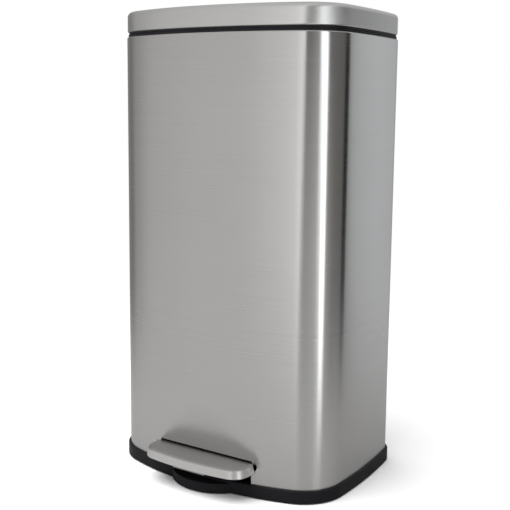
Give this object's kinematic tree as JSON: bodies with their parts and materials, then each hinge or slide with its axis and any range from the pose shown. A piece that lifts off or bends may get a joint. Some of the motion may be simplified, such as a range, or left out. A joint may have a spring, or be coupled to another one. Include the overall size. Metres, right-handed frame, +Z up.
{
  "type": "pedal trash can",
  "caption": "Tall steel waste bin with a bowed front, hinged lid and foot pedal; pressing the pedal lifts a rod that swings the lid open over a lift-out inner bucket.",
  "frame": {"origin": "middle of the bin's outer box, on the floor", "axes": "+Z up, pedal towards -Y, hinge axis along X"},
  "size_m": [0.3498, 0.2914, 0.63],
  "materials": {
    "brushed_steel": "brushed stainless steel, grain running round the body",
    "steel_zinc": "zinc plated steel",
    "black_plastic": "fine-grained black polypropylene",
    "liner_plastic": "black moulded plastic, light grain",
    "bucket_plastic": "dark grey moulded plastic, satin",
    "nylon": "natural nylon",
    "rubber": "black rubber",
    "screw_steel": "bright zinc"
  },
  "bodies": {
    "bin": {"base_tray": "black_plastic", "base_feet": "rubber", "body_shell": "brushed_steel", "pedal_surround": "black_plastic", "surround_screws": "screw_steel", "top_rim": "black_plastic", "lid_bumpers": "rubber", "hinge_housing": "black_plastic", "hinge_pin": "steel_zinc", "backing_plate": "steel_zinc", "housing_screws": "screw_steel", "rod_channel": "steel_zinc", "channel_rivets": "screw_steel", "rod_guides": "nylon", "damper_cylinder": "black_plastic", "damper_clamp": "black_plastic", "pivot_pin": "steel_zinc", "pivot_clips": "steel_zinc", "pedal_buffers": "rubber", "inner_bucket": "bucket_plastic"},
    "lid": {"lid_skin": "brushed_steel", "lid_liner": "liner_plastic", "lid_bracket": "liner_plastic", "crank_roller": "nylon", "crank_pin": "steel_zinc", "lid_screws": "screw_steel"},
    "pedal": {"pedal_cap": "brushed_steel", "pedal_core": "black_plastic", "pedal_lever": "steel_zinc", "pedal_screws": "screw_steel", "pivot_bushes": "nylon"},
    "rod": {"push_rod": "steel_zinc", "rod_foot": "nylon", "rod_head": "nylon", "damper_piston": "steel_zinc", "damper_yoke": "nylon"}
  },
  "joints": [
    {"name": "lid_hinge", "type": "hinge", "parent": "bin", "child": "lid", "pos_m": [0, 0.1367, 0.605], "axis": [-1, 0, 0], "range_deg": [0, 80]},
    {"name": "pedal_press", "type": "hinge", "parent": "bin", "child": "pedal", "pos_m": [0, -0.0632, 0.022], "axis": [1, 0, 0], "range_deg": [0, 10]},
    {"name": "rod_lift", "type": "slide", "parent": "bin", "child": "rod", "axis": [0, 0, 1], "range_m": [0, 0.03144]}
  ],
  "couplings": [
    {"joint": "pedal_press", "follows": "lid_hinge", "ratio": 0.125},
    {"joint": "rod_lift", "follows": "lid_hinge", "m_per_rad": 0.022517}
  ]
}
